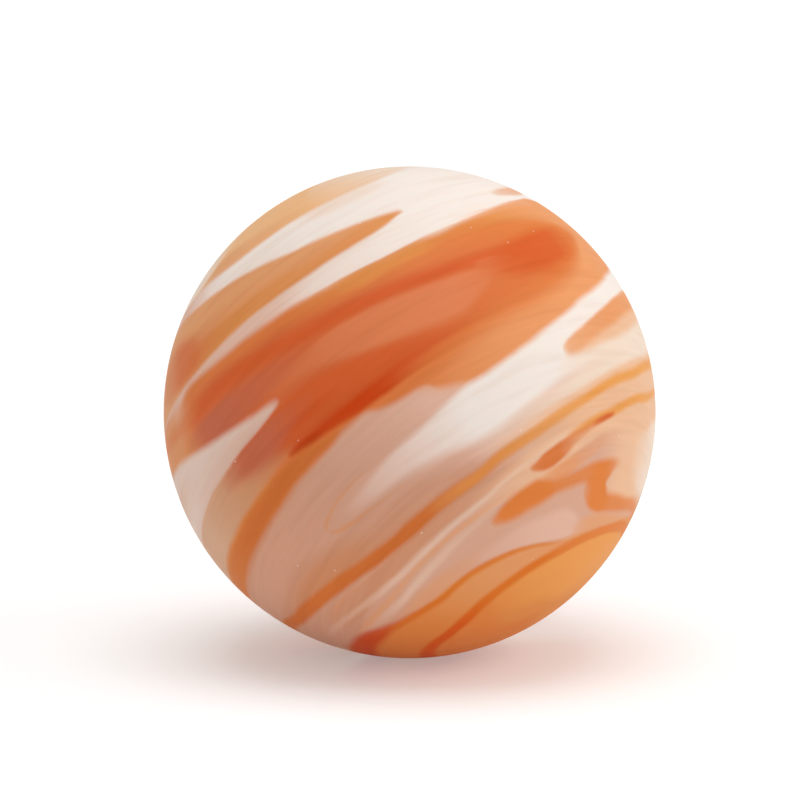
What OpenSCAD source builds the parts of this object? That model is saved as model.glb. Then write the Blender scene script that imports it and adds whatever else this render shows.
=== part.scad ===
/* [Ball] */
// Diameter of the marble
marble_d = 16; // [12:0.5:50]

/* [Swirl] */
// Lean of the swirl's axis to the left, in degrees, seen from the front
swirl_roll = 35; // [0:5:90]
// Lean of the swirl's axis away from the front, in degrees
swirl_lean = 20; // [-40:5:40]
// Tilt of the swirl's fullest side above the horizontal, in degrees
swirl_tilt = 12; // [0:1:30]

/* [Hidden] */
$fn = 128;
// Side of the blocks that slice the ball, so long that each one passes right through it
block = 3 * marble_d;

// The glasses and their colours. Where two would meet, the later one takes the earlier one's place.
glasses = [
    ["ochre", [0.87, 0.61, 0.39]],
    ["rose", [0.85, 0.70, 0.62]],
    ["orange", [0.88, 0.48, 0.27]],
    ["white", [0.97, 0.92, 0.87]],
    ["amber", [0.83, 0.48, 0.22]],
    ["rust", [0.74, 0.28, 0.10]],
];

// Each ribbon of glass is a slice of the ball between two planes, its lower and its upper edge. An
// edge is three places on the surface that its plane passes through. A place is a longitude round
// the swirl's axis, which is 0 at the front and grows to the right, and a latitude, in degrees.

module rose_ribbons() {
    // the broad belly below the orange field
    leaf([-125, -18], [0, -40], [0, -16], [140, -8]);
    // the pale ground that the lower streaks cross
    leaf([-85, -43], [10, -68], [10, -44], [140, -42]);
    // the veils round the upper pole and across the back
    leaf([-150, 66], [-30, 72], [-30, 82], [80, 70]);
    leaf([60, 58], [170, 62], [170, 78], [300, 56]);
    leaf([105, 10], [175, -8], [175, 14], [262, 0]);
}

module orange_ribbons() {
    // the great field across the front
    leaf([-60, 14], [10, -18], [20, 15], [125, 12]);
    // the patch between the white streaks at the left edge
    leaf([-78, 32], [-50, 28], [-50, 39], [-20, 31]);
    // the two fields of the back
    leaf([112, -14], [180, -28], [180, -6], [250, -4]);
    leaf([150, 36], [215, 16], [215, 38], [285, 30]);
}

module white_ribbons() {
    // the upper streak, which opens out at the upper right, and the second streak below it
    leaf([-62, 49], [10, 31.8], [10, 43.5], [165, 24]);
    leaf([-55, 25.7], [15, 16], [0, 23.7], [95, 24]);
    // the wedge that comes in from the left edge
    leaf([-150, 10], [-80, 0], [-80, 16.5], [-22, 2.5]);
    // the main band, from the middle to the right edge
    leaf([-26, -28], [35, -30.5], [45, -16.5], [140, 10]);
    // the patch at the lower right edge
    leaf([80, -44], [110, -50], [110, -36], [160, -38]);
    // the thin line between the lower streaks
    leaf([-70, -44.5], [-20, -49.3], [-20, -47.5], [45, -41]);
    // the streaks of the back
    leaf([105, 50], [190, 42], [190, 52], [292, 46]);
    leaf([150, -36], [205, -44], [205, -34], [262, -38]);
}

module amber_ribbons() {
    // the band below the wedge
    leaf([-120, -10], [-50, -15.5], [-50, -9.5], [8, -12]);
    // the tongue in the main white band
    leaf([47, -23.5], [75, -19.5], [75, -12], [150, 2]);
    // the long stripe, which runs once round the ball, and the shorter one below it
    slice([[-92, -28.5], [0, -43.5], [92, -24.5]], [[-92, -25], [0, -40], [92, -21.5]]);
    leaf([24, -46.5], [60, -40], [60, -37.5], [145, -20]);
    // the zigzag: its body and its lower leg
    leaf([2, -54.5], [25, -56], [25, -51], [70, -51]);
    leaf([46, -56], [65, -62.5], [62, -58], [150, -52]);
    // the line round the lower pole
    slice([[-110, -60.5], [0, -74], [110, -63.5]], [[-110, -56], [0, -71.3], [110, -61]]);
    // the streaks of the back
    leaf([120, 22], [185, 18], [185, 24], [240, 10]);
    leaf([100, 60], [180, 56], [180, 64], [280, 50]);
}

module rust_ribbons() {
    // the deep streak of the orange field, and the dark seam where that field meets the rose
    leaf([-32, 14.5], [20, 3.5], [20, 9], [72, 4.5]);
    leaf([-29, -9.3], [0, -13.5], [0, -9], [42, -5]);
    // the dark stripe at the lower left edge
    leaf([-150, -34], [-90, -48], [-90, -40], [38, -68.5]);
    // the deep streaks of the back
    leaf([140, -12], [190, -20], [190, -14], [238, -8]);
    leaf([180, 32], [220, 25], [220, 30], [268, 28]);
}

// The point of the surface at a place
function on_ball(place) = marble_d / 2 * [
    cos(place[1]) * sin(place[0]),
    -cos(place[1]) * cos(place[0]),
    sin(place[1])
];

// A block with one face in the plane of an edge. Its side is 1 where it lies towards the upper pole
// of the swirl, and -1 where it lies towards the lower one.
module beside(edge, side) {
    start = on_ball(edge[0]);
    across = cross(on_ball(edge[1]) - start, on_ball(edge[2]) - start);
    normal = across / norm(across) * sign(across.z);
    rotate([0, acos(normal.z), atan2(normal.y, normal.x)])
        translate([0, 0, normal * start + side * block / 2])
            cube(block, center = true);
}

module slice(low, high) {
    intersection() {
        beside(low, 1);
        beside(high, -1);
    }
}

// A slice that runs out to a tip at both ends: its first tip, one place on its lower edge, one on
// its upper edge, and its last tip
module leaf(first, low, high, last) {
    slice([first, low, last], [first, high, last]);
}

module ball() {
    sphere(d = marble_d);
}

// All that one glass would fill if none took its place: the whole ball for the ochre, and ribbons
// laid round the swirl's axis for the others
module reach(glass) {
    if (glass == "ochre") ball();
    rotate([-swirl_tilt, 0, 0]) rotate([-swirl_lean, -swirl_roll, 0]) {
        if (glass == "rose") rose_ribbons();
        if (glass == "orange") orange_ribbons();
        if (glass == "white") white_ribbons();
        if (glass == "amber") amber_ribbons();
        if (glass == "rust") rust_ribbons();
    }
}

module marble() {
    last = len(glasses) - 1;
    for (number = [0 : last]) color(glasses[number][1]) difference() {
        intersection() {
            ball();
            reach(glasses[number][0]);
        }
        for (later = [number + 1 : 1 : last]) reach(glasses[later][0]);
    }
}

marble();
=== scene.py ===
"""A glass marble with an orange, white and rose swirl, on a pale floor in soft studio light.

The marble is one ball of satin glass. Its swirl is laid out as ribbons round an axis that leans
to the left and away from the camera: each ribbon has a course of places along that axis'
longitude, with the latitudes of its lower and upper edge there. The ribbons are laid over each
other in order, each with edges of its own softness, and fine streaks run along the flow. A few pale
dots of painted highlight, standing in for light glinting in tiny pinholes, are scattered over them.
"""

import logging
import math
from collections.abc import Mapping
from dataclasses import dataclass
from enum import Enum

import bmesh
import bpy
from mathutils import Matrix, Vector


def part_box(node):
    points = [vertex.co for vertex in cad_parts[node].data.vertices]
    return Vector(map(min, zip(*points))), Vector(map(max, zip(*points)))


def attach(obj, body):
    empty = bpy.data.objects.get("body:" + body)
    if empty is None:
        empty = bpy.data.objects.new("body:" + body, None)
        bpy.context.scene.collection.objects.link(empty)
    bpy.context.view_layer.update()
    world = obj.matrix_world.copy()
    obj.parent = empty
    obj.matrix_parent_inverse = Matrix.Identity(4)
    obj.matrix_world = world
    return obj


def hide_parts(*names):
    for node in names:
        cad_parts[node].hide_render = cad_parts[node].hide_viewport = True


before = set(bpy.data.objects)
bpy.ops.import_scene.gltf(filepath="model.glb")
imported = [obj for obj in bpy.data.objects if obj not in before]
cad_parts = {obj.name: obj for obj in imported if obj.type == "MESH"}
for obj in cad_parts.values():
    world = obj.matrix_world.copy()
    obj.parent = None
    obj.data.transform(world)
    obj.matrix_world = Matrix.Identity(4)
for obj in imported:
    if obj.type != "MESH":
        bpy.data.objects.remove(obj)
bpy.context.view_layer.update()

IMAGE_SIDE = 800
MILLIMETRE = 0.001
FULL_TURN = 360.0
HALF_TURN = 180.0
# how strongly the fine streaks sag at the front
SAG = 0.1
# how softly the share of cells with a painted pinhole glint ends
CHOICE_EDGE = 0.01
FLOAT = "NodeSocketFloat"
VECTOR = "NodeSocketVector"

log = logging.getLogger("marble")

Socket = bpy.types.NodeSocket
Course = tuple[tuple[float, ...], ...]


class Glass(Enum):
    """The glasses of the swirl, as display colours from 0 to 255."""

    MILK = (255, 240, 230)
    CREAM = (251, 226, 205)
    PEARL = (240, 211, 195)
    ROSE = (238, 192, 170)
    BLUSH = (221, 165, 137)
    VEIL = (227, 176, 150)
    BEIGE = (226, 178, 144)
    PEACH = (246, 196, 158)
    SAND = (250, 192, 138)
    TAN = (236, 166, 114)
    HONEY = (244, 166, 88)
    APRICOT = (242, 162, 106)
    CLAY = (232, 154, 116)
    FAWN = (233, 154, 100)
    UMBER = (216, 146, 102)
    OCHRE = (233, 149, 78)
    TANGERINE = (234, 136, 66)
    ORANGE = (230, 130, 70)
    CORAL = (232, 136, 89)
    COPPER = (224, 112, 64)
    DUSK = (210, 112, 80)
    TOPAZ = (228, 122, 40)
    AMBER = (220, 120, 56)
    RUST = (224, 102, 50)
    FLAME = (222, 98, 44)
    BURNT = (226, 95, 23)
    EMBER = (214, 72, 18)
    SCORCH = (199, 64, 10)

    @property
    def linear(self) -> tuple[float, float, float, float]:
        """The colour as linear red, green, blue and alpha."""
        red, green, blue = (linear_channel(channel / 255) for channel in self.value)
        return red, green, blue, 1.0


def linear_channel(display: float) -> float:
    """Turns one display channel into a linear one.

    Args:
        display: The channel's display value, from 0 to 1.

    Returns:
        The linear value, from 0 to 1.
    """
    if display <= 0.04045:
        return display / 12.92
    return ((display + 0.055) / 1.055) ** 2.4


@dataclass(frozen=True)
class Ribbon:
    """A ribbon of glass that runs round the swirl's axis.

    Attributes:
        name: What the ribbon is.
        glass: The glass that it is made of.
        course: Its stations, each a longitude, the latitudes of its lower and upper edge, in
            degrees, and, where it isn't 1, how dense the glass is there.
        feather: How wide its lower and upper edges blend, in degrees.
    """

    name: str
    glass: Glass
    course: Course
    feather: tuple[float, float] = (2.0, 2.0)

    @property
    def start(self) -> float:
        """The longitude of its first station."""
        return self.course[0][0]

    @property
    def end(self) -> float:
        """The longitude of its last station."""
        return self.course[-1][0]

    @property
    def tracks(self) -> tuple[tuple[float, ...], ...]:
        """Its lower edge, upper edge and density at each station, the edges as shares of half a turn."""
        low = tuple(station[1] / HALF_TURN + 0.5 for station in self.course)
        high = tuple(station[2] / HALF_TURN + 0.5 for station in self.course)
        density = tuple(station[3] if len(station) > 3 else 1.0 for station in self.course)
        return low, high, density

    @property
    def passes_back(self) -> bool:
        """Whether it runs over the back, past half a turn."""
        return self.end > HALF_TURN


GROUND = (
    Ribbon("crown", Glass.SAND, (
        (-110, 42, 90, 0), (-70, 42, 90, 0.6), (-40, 42, 90), (60, 41, 90), (100, 41, 90, 0.5),
        (140, 41, 90, 0),
    ), (1.8, 1)),
    Ribbon("tan in the crown", Glass.TAN, (
        (-44, 44, 52, 0), (-36, 44, 53, 0.6), (-25, 44, 54, 0.85), (-12, 44, 52, 0.6), (2, 43, 50, 0.4),
        (16, 43, 48, 0),
    ), (2, 5)),
    Ribbon("cream at the crown's left", Glass.CREAM, (
        (-90, 48, 60, 0), (-60, 49.5, 64, 0.8), (-45, 50, 64), (-36, 51.5, 64, 0.8), (-26, 56, 66, 0.3),
        (-18, 60, 66, 0),
    ), (3, 4)),
    Ribbon("cream at the crown's right", Glass.CREAM, (
        (12, 42, 52, 0), (22, 42, 60, 0.3), (30, 42, 64, 0.5), (40, 42, 66, 0.75), (52, 42, 68, 0.95),
        (70, 41, 66), (100, 41, 58), (130, 42, 50, 0),
    ), (3, 4)),
    Ribbon("veil over the pole", Glass.ROSE, (
        (-150, 66, 67, 0), (-90, 69, 76, 0.8), (-30, 72, 82), (30, 70, 79, 0.9), (80, 69, 71, 0),
    ), (4, 4)),
    Ribbon("pole", Glass.SAND, ((-180, 83, 90), (180, 83, 90)), (6, 0.1)),
    Ribbon("belly", Glass.BLUSH, (
        (-125, -20, -16, 0), (-100, -29, -14, 0.9), (-85, -33, -15.5), (-60, -39, -15.5), (-40, -42.5, -15),
        (-20, -44, -13), (0, -44, -13), (20, -42, -16), (40, -40, -15), (95, -24, -5), (140, -12, -8, 0),
    ), (1.5, 1.5)),
    Ribbon("rose over the belly", Glass.ROSE, (
        (-50, -34, -16, 0), (-30, -32.5, -15, 0.12), (-20, -33, -14.5, 0.3), (-10, -34, -13.5, 0.5),
        (0, -36, -15, 0.75), (15, -38.5, -18), (30, -37, -20), (60, -33, -12), (95, -22, -4),
        (140, -10, -8, 0),
    ), (6, 2)),
    Ribbon("lower veil", Glass.VEIL, (
        (-75, -46, -43, 0), (-66, -53, -40, 0.8), (-50, -57.5, -41), (-30, -60, -43), (0, -63.5, -43),
        (20, -67, -41), (38, -69.3, -39), (60, -69, -35), (80, -66, -30), (110, -58, -20),
        (140, -46, -34, 0),
    ), (1.6, 1.5)),
    Ribbon("blush at the veil's left", Glass.BLUSH, (
        (-125, -33, -20, 0), (-105, -39, -24, 0.9), (-90, -43, -27), (-80, -47, -31), (-70, -51, -33, 0.9),
        (-60, -55, -36, 0.7), (-50, -58, -39, 0.4), (-36, -60, -41, 0),
    ), (2, 1.5)),
)

BACK = (
    Ribbon("rose at the back", Glass.ROSE, (
        (60, 57, 59, 0), (100, 60, 72, 0.9), (170, 62, 78), (240, 59, 71), (300, 55, 57, 0),
    ), (3, 4)),
    Ribbon("rose across the back", Glass.ROSE, (
        (105, 9, 11, 0), (140, -2, 15, 0.9), (175, -8, 15), (220, -6, 12), (262, -1, 1, 0),
    ), (3, 3)),
    Ribbon("lower orange of the back", Glass.ORANGE, (
        (112, -15, -13, 0), (145, -24, -9), (180, -28, -6), (220, -18, -3), (250, -5, -3, 0),
    ), (2, 2.5)),
    Ribbon("upper orange of the back", Glass.ORANGE, (
        (150, 35, 37, 0), (180, 23, 38), (215, 15, 39), (250, 20, 36), (285, 29, 31, 0),
    ), (2.5, 2)),
    Ribbon("upper white of the back", Glass.MILK, (
        (100, 49, 51, 0), (140, 45, 52), (190, 42, 52), (240, 43, 51), (292, 45, 47, 0),
    ), (2, 2.5)),
    Ribbon("lower white of the back", Glass.CREAM, (
        (145, -37, -35, 0), (175, -43, -34), (205, -44, -33), (235, -42, -35), (266, -39, -37, 0),
    ), (2, 2.5)),
    Ribbon("upper streak of the back", Glass.AMBER, (
        (118, 21, 23, 0), (150, 19, 24, 0.9), (185, 18, 24), (215, 14, 19, 0.9), (242, 9, 11, 0),
    ), (2, 2)),
    Ribbon("highest streak of the back", Glass.AMBER, (
        (98, 59, 61, 0), (140, 57, 63, 0.9), (180, 56, 64), (230, 53, 58, 0.9), (282, 49, 51, 0),
    ), (2, 2)),
    Ribbon("deep streak of the back's lower orange", Glass.RUST, (
        (138, -13, -11, 0), (165, -19, -13, 0.9), (190, -20, -14), (215, -16, -11, 0.9), (240, -9, -7, 0),
    ), (3, 2.5)),
    Ribbon("deep streak of the back's upper orange", Glass.RUST, (
        (176, 32, 33, 0), (200, 27, 31, 0.9), (220, 25, 30), (245, 26, 29, 0.9), (270, 27, 29, 0),
    ), (2.5, 3)),
    Ribbon("long stripe behind", Glass.HONEY, (
        (80, -29.6, -27.2, 0), (100, -22.8, -20.4), (120, -15.6, -13.4), (150, -9.2, -7.2),
        (180, -7.8, -5.8), (210, -11.4, -9.2), (240, -19, -16.6), (262, -26.4, -23.4), (275, -30, -26.5, 0),
    ), (1.6, 1.6)),
)

UPPER_STREAKS = (
    Ribbon("left shoulder", Glass.CLAY, (
        (-130, 20, 40, 0), (-100, 16, 46), (-75, 15, 49), (-60, 14, 48, 0.9), (-50, 18, 46, 0.5),
        (-38, 22, 44, 0),
    ), (2, 3)),
    Ribbon("upper white", Glass.MILK, (
        (-94, 30, 44, 0), (-82, 27.5, 46.5, 0.15), (-72, 26.4, 48.6, 0.5), (-60, 25.8, 50),
        (-50, 25.4, 49.8), (-40, 22.8, 49.4), (-30, 21.2, 47.8), (-20, 20, 46), (-10, 18.8, 45.2),
        (0, 17.2, 45), (10, 15.8, 44.4), (20, 14.8, 43.8), (30, 14.8, 43.4), (40, 15.4, 44), (50, 15.8, 46),
        (60, 16.6, 48), (70, 17.6, 49), (80, 19.3, 50), (95, 23, 48), (120, 27, 44), (145, 30, 38),
        (165, 32, 34, 0),
    ), (2.2, 2.6)),
    Ribbon("rosy left end of the first streak", Glass.ROSE, (
        (-70, 42, 52, 0), (-55, 42, 51), (-40, 42, 50, 0.7), (-25, 38, 49, 0.15), (-5, 35, 46, 0.05),
        (5, 33, 46, 0),
    )),
    Ribbon("rosy left end of the second streak", Glass.ROSE, (
        (-66, 18, 27, 0), (-50, 18, 27), (-30, 18, 26, 0.95), (-15, 17, 25, 0.8), (0, 15, 25, 0.3),
        (15, 14, 25, 0.12), (30, 14, 25, 0),
    )),
    Ribbon("blush in the upper white", Glass.PEACH, (
        (4, 41, 45, 0), (15, 38.5, 45, 0.3), (26, 38, 44, 0.3), (40, 39, 44, 0),
    ), (3, 2)),
    Ribbon("wedge", Glass.TAN, (
        (-110, 18, 46, 0), (-94, 21, 47, 0.6), (-78, 25, 48, 0.95), (-60, 26, 47), (-50, 26, 46),
        (-40, 25.3, 43.7), (-30, 24.8, 41.6), (-20, 24.4, 39.2), (-10, 23.8, 36.4), (0, 23.5, 33.3),
        (10, 23.5, 31.2), (19, 24, 29.3), (24, 24.8, 28.2), (27, 25.6, 27.4, 0.8), (29.5, 26.3, 26.9, 0),
    ), (1.8, 2.2)),
    Ribbon("fawn in the wedge", Glass.FAWN, (
        (-70, 27, 40, 0), (-52, 26, 40, 0.6), (-38, 25.5, 36, 0.8), (-20, 25, 33, 0.6), (-5, 24.4, 30, 0.6),
        (10, 24, 28, 0.6), (22, 25, 27, 0),
    ), (1.5, 5)),
    Ribbon("orange foot of the wedge", Glass.OCHRE, (
        (-52, 26, 30, 0), (-38, 25.5, 31, 0.6), (-25, 25, 30, 0.8), (-10, 24.4, 28.6, 0.6),
        (5, 24, 27, 0.5), (20, 24.4, 28, 0.6), (28, 25.8, 27.4, 0.8), (30, 26.2, 27, 0),
    ), (1.5, 3)),
    Ribbon("rust in the wedge", Glass.RUST, (
        (-78, 31, 38, 0), (-64, 29, 40, 0.3), (-56, 27.5, 40, 0.45), (-50, 26.5, 38.5, 0.65),
        (-44, 26, 36, 0.65), (-38, 26, 33, 0.35), (-31, 26.5, 31, 0.12), (-24, 27, 29, 0),
    ), (4, 6)),
    Ribbon("small leaf", Glass.TAN, (
        (57.5, 22.6, 23.6, 0), (60.5, 22, 24.4, 0.5), (66, 22, 25.6, 0.7), (75, 24, 28, 0.8),
        (80, 26, 29.6), (90, 29, 33), (105, 33, 36), (120, 35, 37, 0),
    )),
)

ORANGE_FIELD = (
    Ribbon("orange field", Glass.ORANGE, (
        (-64, 15, 21, 0), (-58, 9, 22, 0.25), (-53, 4, 23.4, 0.7), (-48, -2, 24.2), (-44, -7, 23.9),
        (-40, -10, 23), (-30, -15, 21.3), (-20, -14.8, 20), (-15, -13.8, 19.3), (-10, -13.8, 18.7),
        (-5, -15.6, 17.7), (0, -16.4, 16.6), (7, -17, 15.1), (9, -18.6, 14.8), (13, -20, 14.2),
        (20, -21.6, 13.9), (26, -21, 14), (33, -19.6, 14.4), (42, -17.6, 15.2), (50, -14.8, 15.8),
        (60, -11.2, 16.6), (70, -7.3, 17.5), (80, -2.8, 19.3), (90, 1, 21.4), (110, 6, 22), (140, 10, 18),
        (165, 13, 14, 0),
    ), (2.4, 2.8)),
    Ribbon("red heart of the field", Glass.COPPER, (
        (-60, 11, 19, 0), (-53, 9, 20, 0.6), (-46, -4, 20, 0.9), (-38, -8, 19.5), (-30, -9, 18),
        (-20, -10, 16.5), (-10, -11, 14.5), (0, -11, 12), (12, -10, 10, 0.9), (25, -9, 8.5, 0.6),
        (40, -7, 8.5, 0.3), (54, -5, 9, 0),
    ), (4, 4)),
    Ribbon("ochre along the upper edge", Glass.OCHRE, (
        (-14, 15.5, 19, 0), (0, 14, 17.6, 0.4), (10, 12, 16.4, 0.9), (23, 11.8, 15.8, 0.9),
        (34, 12.5, 16, 0.45), (45, 12.5, 16.6, 0.6), (56, 12, 18, 0.8), (68, 12, 19, 0),
    ), (2.5, 1)),
    Ribbon("dusk below the deep streak", Glass.DUSK, (
        (-60, 8, 13, 0), (-52, 6, 14, 0.7), (-43, 5, 13.5), (-32, 5, 12, 0.7), (-20, 5, 10, 0.4),
        (-8, 5, 8, 0),
    ), (3, 3)),
    Ribbon("coral", Glass.CORAL, (
        (-30, 3, 6, 0), (-14, 2, 6.5, 0.5), (0, -2.5, 6.8, 0.9), (12, -5, 5.8), (23, -6.3, 3.9),
        (31, -4, 3, 0.8), (36.5, -1.5, 2.2, 0.5), (41, 0, 1.6, 0.2), (46, 0.8, 1.2, 0),
    ), (3, 2)),
    Ribbon("deep streak", Glass.RUST, (
        (-56, 15.4, 18.6, 0), (-49, 14.6, 18.8, 0.6), (-43, 14.5, 18.5, 0.9), (-32, 13.5, 17.4),
        (-21, 11.2, 15), (-10, 8.8, 12.4), (1, 7, 10.6), (12, 5.4, 8.8), (23, 3.8, 7.2),
        (34, 2.7, 6.3, 0.9), (44, 1.5, 5.5, 0.8), (54, 1, 5.5, 0),
    ), (3, 3)),
    Ribbon("rust below the coral", Glass.RUST, (
        (-40, -7, -1.5, 0), (-32, -8, -1, 0.6), (-20, -9, 0.5), (-8, -10, -1), (2, -10, -3.5, 0.9),
        (12, -10, -6.3, 0.7), (22, -10, -8, 0.3), (32, -9, -8, 0),
    ), (2, 3)),
    Ribbon("dark line in the rust", Glass.EMBER, (
        (-40, -5, -4, 0), (-32, -6, -4, 0.35), (-22, -6.4, -4, 0.35), (-8, -6, -5, 0),
    ), (1.5, 2)),
    Ribbon("outline of the light lobe", Glass.CORAL, (
        (33, 2.6, 4.2, 0), (38, 1.8, 3.9, 0.6), (42, 1.7, 3.4, 0.6), (45.5, 2, 2.8, 0),
    ), (1, 1)),
    Ribbon("ember seam", Glass.EMBER, (
        (-31, -10.4, -9.2, 0), (-28, -10.8, -8.6, 0.8), (-20, -11.8, -9, 0.9), (-10, -13.3, -9.3),
        (-2, -13.4, -9.3, 0.9), (4, -13, -9, 0.6), (12, -12.6, -8.6, 0.25), (26, -12, -8, 0),
    ), (1.6, 2.4)),
    Ribbon("darkest spot of the seam", Glass.SCORCH, (
        (-31, -9.8, -9.2, 0), (-27.5, -10.6, -9.2, 0.7), (-23.5, -11.4, -9.6, 0.9),
        (-19, -11.4, -10.4, 0.3), (-15, -11.6, -11, 0),
    ), (1.4, 1.4)),
    Ribbon("pale foot of the field", Glass.APRICOT, (
        (2, -17, -15.5, 0), (12, -21, -15, 0.45), (23, -23, -13, 0.75), (34, -21, -11.4, 0.9),
        (45, -18.4, -10, 0.95), (56, -15, -7), (62, -12.8, -4), (67, -10.6, -0.4), (71, -8.4, 4),
        (75, -6, 11), (80, -3, 22), (100, 1, 22), (140, 9, 18), (165, 13, 14, 0),
    ), (3, 6)),
    Ribbon("apricot above the flame", Glass.APRICOT, (
        (38, 14.5, 18, 0), (50, 13.5, 18, 0.4), (58, 12, 19, 0.65), (66, 10.4, 20, 0.9), (72, 8, 21),
        (78, 4, 21), (84, 0, 21, 0.8), (100, 0, 22, 0),
    ), (5, 1)),
    Ribbon("tangerine round the flame's end", Glass.TANGERINE, (
        (46, -3, 11, 0), (56, -1.8, 11, 0.4), (62, -0.4, 10.6, 0.8), (67, 1.6, 10.6, 0.8), (71, 4, 10, 0.6),
        (78, 7, 9.6, 0),
    ), (5, 4)),
    Ribbon("flame core", Glass.FLAME, (
        (32, 1, 3, 0), (38, -1.4, 4.4, 0.45), (44, -3.2, 6, 0.8), (52, -3.4, 7.4, 0.95),
        (58, -2, 8.4, 0.95), (64, 0, 9, 0.7), (69, 2.6, 9.2, 0.3), (75, 6, 9.2, 0),
    ), (4.6, 4)),
)

LEFT_EDGE = (
    Ribbon("left honey", Glass.FAWN, (
        (-150, 8, 26, 0), (-110, 14, 28, 0.8), (-80, 16, 25), (-66, 12.5, 24.5), (-58, 10, 24, 0.6),
        (-48, 9, 23, 0),
    ), (2, 3)),
    Ribbon("brown streak in the left honey", Glass.ORANGE, (
        (-112, 25, 28, 0), (-95, 24.5, 27.5, 0.5), (-80, 22, 25, 0.6), (-70, 20, 23.2, 0.6),
        (-60, 17.8, 21, 0.6), (-52, 16.5, 20, 0.4), (-44, 16, 19, 0),
    ), (2, 3)),
    Ribbon("left white", Glass.PEARL, (
        (-150, 9, 12, 0), (-125, 4, 17), (-100, 1, 19), (-90, 0.2, 18), (-80, -0.2, 16.6),
        (-70, -0.2, 14.6), (-60, 0, 12), (-50, 0, 8.6), (-40, 0.1, 5.6), (-33, 0.3, 3.9), (-29, 0.7, 3.1),
        (-26, 1.1, 2.6, 0.8), (-23.5, 1.6, 2.2, 0),
    ), (1.4, 2.6)),
    Ribbon("beige in the left white", Glass.BEIGE, (
        (-120, 5, 13, 0), (-95, 5.5, 12.6, 0.5), (-80, 6.2, 11.8, 0.45), (-70, 7, 11, 0.3),
        (-60, 7, 9.5, 0),
    ), (3, 3)),
    Ribbon("shade in the left white", Glass.VEIL, (
        (-70, -0.2, 3, 0), (-56, -0.2, 4, 0.3), (-44, 0, 4, 0.45), (-34, 0.2, 3.2, 0.5),
        (-28, 0.7, 2.6, 0.4), (-24, 1.3, 2.3, 0),
    ), (1, 3)),
    Ribbon("beige below the left white", Glass.BEIGE, (
        (-150, -10, 2, 0), (-110, -9, 1), (-85, -9.8, 0), (-60, -10, 0), (-52, -10, -0.2, 0.9),
        (-44, -10, -0.3, 0.6), (-36, -9.8, -1, 0.2), (-30, -9.8, -2, 0),
    ), (2, 1.2)),
    Ribbon("umber below the left white", Glass.UMBER, (
        (-70, -10, -0.4, 0), (-56, -10, -0.3, 0.4), (-48, -10, -0.4, 0.55), (-40, -10, -4, 0.6),
        (-32, -9.6, -7, 0.3), (-26, -9.4, -8, 0),
    ), (2, 2)),
    Ribbon("dusk below the left white", Glass.DUSK, (
        (-53, -3.5, -0.4, 0), (-46, -5, -0.3, 0.6), (-38, -6.4, -0.3), (-31, -6.6, -0.2, 0.8),
        (-24, -5.4, -0.6, 0.4), (-14, -4, -2, 0),
    ), (3, 1.2)),
    Ribbon("brown band", Glass.AMBER, (
        (-150, -14, -9, 0), (-115, -15, -9, 0.7), (-85, -16, -10, 0.75), (-60, -16.4, -10.4, 0.95),
        (-40, -15.8, -10.4), (-30, -15.2, -10.4, 0.9), (-22, -14.6, -11.6, 0.8), (-14, -14, -12.6, 0.4),
        (-4, -13.8, -13, 0),
    ), (3, 3)),
    Ribbon("umber in the belly", Glass.UMBER, (
        (-95, -29, -24, 0), (-80, -32, -27, 0.4), (-70, -34.5, -28.5, 0.7), (-60, -37, -29, 0.9),
        (-50, -39.5, -30, 0.9), (-40, -41, -32, 0.75), (-30, -42, -35, 0.55), (-20, -43, -36, 0.4),
        (-10, -43, -37, 0.2), (4, -43, -38, 0),
    ), (1.5, 7)),
)

MAIN_WHITE = (
    Ribbon("hook, upper line", Glass.OCHRE, (
        (-39, -28.2, -27.7, 0), (-37, -27.4, -26.4, 0.4), (-33, -26.2, -25.2, 0.35),
        (-28, -25.3, -24.4, 0.3), (-22, -24.9, -24.2, 0.2), (-14, -24.6, -24, 0),
    ), (1, 1)),
    Ribbon("hook, lower line", Glass.OCHRE, (
        (-39, -28.4, -28, 0), (-36.5, -30.2, -29.2, 0.4), (-32, -31.5, -30.4, 0.4), (-26, -32, -31.2, 0.3),
        (-18, -32.5, -31.8, 0.2), (-8, -32.8, -32.2, 0),
    ), (1, 1)),
    Ribbon("main white", Glass.MILK, (
        (-32, -29, -27.6, 0), (-22, -30.4, -27, 0.25), (-12, -31.2, -25.4, 0.42), (0, -32.6, -24.4, 0.7),
        (8, -34, -23.2, 0.88), (15, -34.4, -22), (22, -33.8, -21.4), (30, -32.4, -20.2), (40, -30, -18),
        (50, -28.5, -15), (60, -27, -11.5), (70, -24.5, -8), (80, -21, -3.5), (90, -17, 0.5),
        (110, -9, 5.5), (140, 1, 9.5), (165, 9, 12, 0),
    ), (3.6, 2.4)),
    Ribbon("cream under the tongue", Glass.CREAM, (
        (40, -30, -26, 0), (52, -29, -24, 0.7), (65, -27.5, -20), (80, -24, -15.5), (95, -19, -10),
        (115, -10, -2), (140, 0, 4, 0),
    ), (2, 1.5)),
    Ribbon("tongue", Glass.PEACH, (
        (45, -24.2, -22.6, 0), (47.2, -24.9, -21.4), (51, -25, -20), (56, -24.4, -18.4), (60, -23.4, -16.8),
        (65, -22.4, -14.8), (70, -21.2, -12.9), (75, -19.8, -11), (80, -18, -9.2), (90, -14, -5.6),
        (110, -6, 1), (140, 4, 7, 0.6), (160, 9, 10, 0),
    ), (2.6, 1.6)),
    Ribbon("apricot in the tongue", Glass.APRICOT, (
        (46, -24.2, -22, 0), (48.6, -24.6, -20.8, 0.6), (55, -22.8, -18.6, 0.8), (62, -20.4, -16, 0.9),
        (70, -18, -13), (80, -14.2, -9.4), (90, -10.5, -6), (110, -3, 0.5), (135, 4.5, 6, 0),
    ), (2.6, 1.6)),
)

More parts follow.
